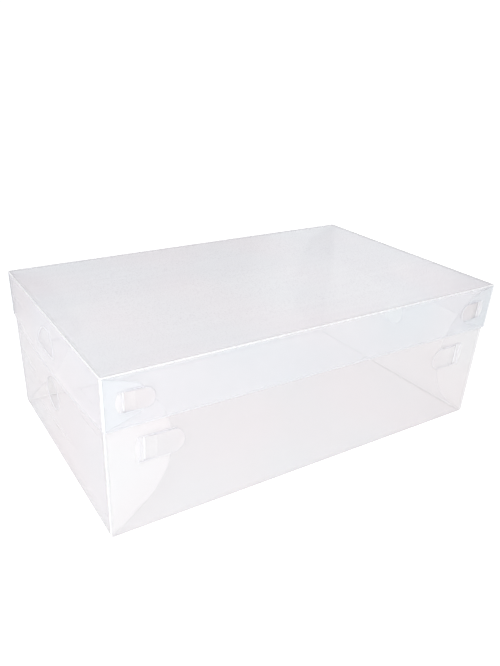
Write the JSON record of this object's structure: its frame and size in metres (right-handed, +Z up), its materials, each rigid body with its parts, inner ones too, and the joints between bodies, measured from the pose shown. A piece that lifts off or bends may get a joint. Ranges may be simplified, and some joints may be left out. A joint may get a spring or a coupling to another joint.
{
  "type": "shoe box",
  "caption": "Clear plastic shoe box folded from creased sheet, with a lift-off lid, corner flaps locked by tongues in windows, finger holes in the ends and thumb openings in the lid.",
  "frame": {"origin": "middle of the underside of the base", "axes": "+X along the length to the right end, +Y to the back, +Z up"},
  "size_m": [0.3388, 0.2, 0.118],
  "materials": {
    "clear_sheet": "frosted clear polypropylene sheet, 0.5 mm, with bright creases"
  },
  "bodies": {
    "box_body": {"base_panel": "clear_sheet", "front_wall": "clear_sheet", "back_wall": "clear_sheet", "left_end_wall": "clear_sheet", "right_end_wall": "clear_sheet", "front_base_crease": "clear_sheet", "back_base_crease": "clear_sheet", "left_base_crease": "clear_sheet", "right_base_crease": "clear_sheet", "front_left_corner_crease": "clear_sheet", "front_right_corner_crease": "clear_sheet", "back_left_corner_crease": "clear_sheet", "back_right_corner_crease": "clear_sheet"},
    "lid": {"lid_top_panel": "clear_sheet", "lid_front_crease": "clear_sheet", "lid_back_crease": "clear_sheet", "lid_left_crease": "clear_sheet", "lid_right_crease": "clear_sheet"},
    "front_skirt": {"lid_front_skirt": "clear_sheet"},
    "back_skirt": {"lid_back_skirt": "clear_sheet"},
    "left_skirt": {"lid_left_skirt": "clear_sheet", "lid_front_left_corner_crease": "clear_sheet", "lid_front_left_flap": "clear_sheet", "lid_front_left_tongue": "clear_sheet", "lid_back_left_corner_crease": "clear_sheet", "lid_back_left_flap": "clear_sheet", "lid_back_left_tongue": "clear_sheet"},
    "right_skirt": {"lid_right_skirt": "clear_sheet", "lid_front_right_corner_crease": "clear_sheet", "lid_front_right_flap": "clear_sheet", "lid_front_right_tongue": "clear_sheet", "lid_back_right_corner_crease": "clear_sheet", "lid_back_right_flap": "clear_sheet", "lid_back_right_tongue": "clear_sheet"},
    "front_left_body_flap": {"front_left_flap": "clear_sheet", "front_left_tongue": "clear_sheet"},
    "front_right_body_flap": {"front_right_flap": "clear_sheet", "front_right_tongue": "clear_sheet"},
    "back_left_body_flap": {"back_left_flap": "clear_sheet", "back_left_tongue": "clear_sheet"},
    "back_right_body_flap": {"back_right_flap": "clear_sheet", "back_right_tongue": "clear_sheet"}
  },
  "joints": [
    {"name": "lid_lift", "type": "slide", "parent": "box_body", "child": "lid", "axis": [0, 0, 1], "range_m": [0, 0.16]},
    {"name": "front_skirt_fold", "type": "hinge", "parent": "lid", "child": "front_skirt", "pos_m": [0, -0.09885, 0.11765], "axis": [-1, 0, 0], "range_deg": [0, 90]},
    {"name": "back_skirt_fold", "type": "hinge", "parent": "lid", "child": "back_skirt", "pos_m": [0, 0.09885, 0.11765], "axis": [1, 0, 0], "range_deg": [0, 90]},
    {"name": "left_skirt_fold", "type": "hinge", "parent": "lid", "child": "left_skirt", "pos_m": [-0.16465, 0, 0.11765], "axis": [0, 1, 0], "range_deg": [0, 90], "deforming": ["lid_front_left_tongue", "lid_back_left_tongue"]},
    {"name": "right_skirt_fold", "type": "hinge", "parent": "lid", "child": "right_skirt", "pos_m": [0.16465, 0, 0.11765], "axis": [0, -1, 0], "range_deg": [0, 90], "deforming": ["lid_front_right_tongue", "lid_back_right_tongue"]},
    {"name": "front_left_flap_fold", "type": "hinge", "parent": "box_body", "child": "front_left_body_flap", "pos_m": [-0.163, -0.09615, 0.059], "axis": [0, 0, 1], "range_deg": [0, 88], "deforming": ["front_left_tongue"]},
    {"name": "front_right_flap_fold", "type": "hinge", "parent": "box_body", "child": "front_right_body_flap", "pos_m": [0.163, -0.09615, 0.059], "axis": [0, 0, -1], "range_deg": [0, 88], "deforming": ["front_right_tongue"]},
    {"name": "back_left_flap_fold", "type": "hinge", "parent": "box_body", "child": "back_left_body_flap", "pos_m": [-0.163, 0.09615, 0.059], "axis": [0, 0, -1], "range_deg": [0, 88], "deforming": ["back_left_tongue"]},
    {"name": "back_right_flap_fold", "type": "hinge", "parent": "box_body", "child": "back_right_body_flap", "pos_m": [0.163, 0.09615, 0.059], "axis": [0, 0, 1], "range_deg": [0, 88], "deforming": ["back_right_tongue"]}
  ]
}
